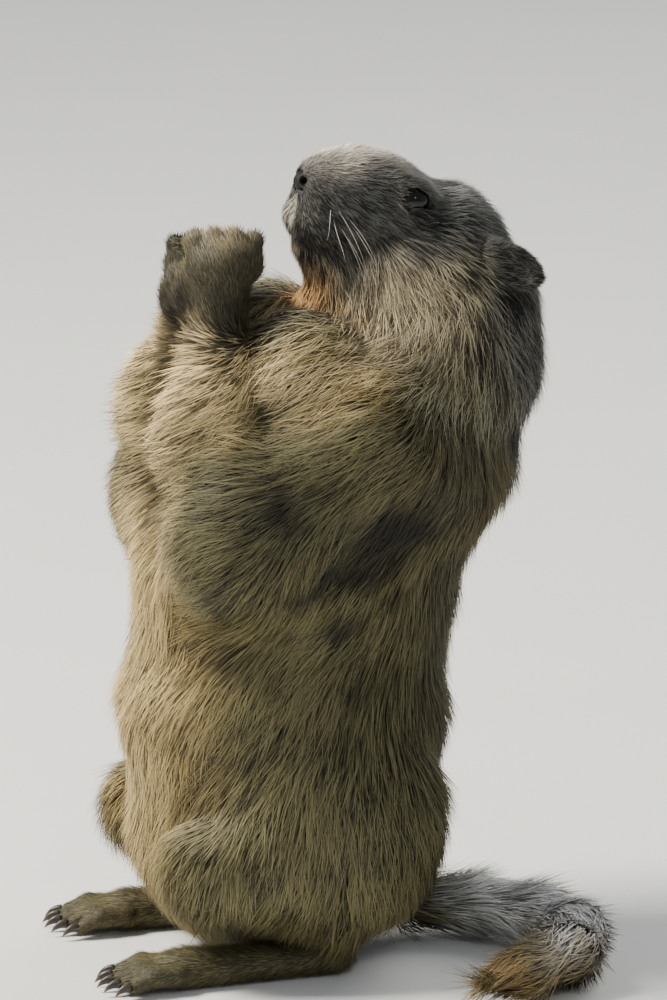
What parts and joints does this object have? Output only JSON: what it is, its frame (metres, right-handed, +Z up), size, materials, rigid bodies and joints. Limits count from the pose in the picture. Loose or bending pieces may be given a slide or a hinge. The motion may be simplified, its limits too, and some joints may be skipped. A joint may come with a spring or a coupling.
{
  "type": "alpine marmot model",
  "caption": "Life-size marmot sitting upright on its haunches, nose raised, forepaws held together before the chin and the tail curled on the ground.",
  "frame": {"origin": "middle of the bounding box's underside, on the ground plane", "axes": "+Z up, the animal looks along -Y, +X to its left side"},
  "size_m": [0.2172, 0.237, 0.3705],
  "materials": {
    "coat": "long grizzled fur",
    "head_fur": "short dark fur",
    "tail_fur": "bushy fur",
    "paw_fur": "short fur",
    "nose": "moist fine-grained skin",
    "eye": "wet gloss",
    "claw": "worn horn"
  },
  "bodies": {
    "root": {"claw_fore_left_1": "claw", "claw_fore_left_2": "claw", "claw_fore_left_3": "claw", "claw_fore_left_4": "claw", "claw_fore_right_1": "claw", "claw_fore_right_2": "claw", "claw_fore_right_3": "claw", "claw_fore_right_4": "claw", "claw_hind_left_1": "claw", "claw_hind_left_2": "claw", "claw_hind_left_3": "claw", "claw_hind_left_4": "claw", "claw_hind_left_5": "claw", "claw_hind_right_1": "claw", "claw_hind_right_2": "claw", "claw_hind_right_3": "claw", "claw_hind_right_4": "claw", "claw_hind_right_5": "claw", "ear_left": "head_fur", "ear_right": "head_fur", "eye_left": "eye", "eye_right": "eye", "forearm_left": "coat", "forearm_right": "coat", "forepaw_left": "paw_fur", "forepaw_right": "paw_fur", "head": "head_fur", "hind_foot_left": "paw_fur", "hind_foot_right": "paw_fur", "neck": "coat", "nose": "nose", "tail_middle": "tail_fur", "tail_root": "tail_fur", "tail_tip": "tail_fur", "thigh_left": "coat", "thigh_right": "coat", "torso": "coat", "upper_arm_left": "coat", "upper_arm_right": "coat"}
  },
  "joints": []
}
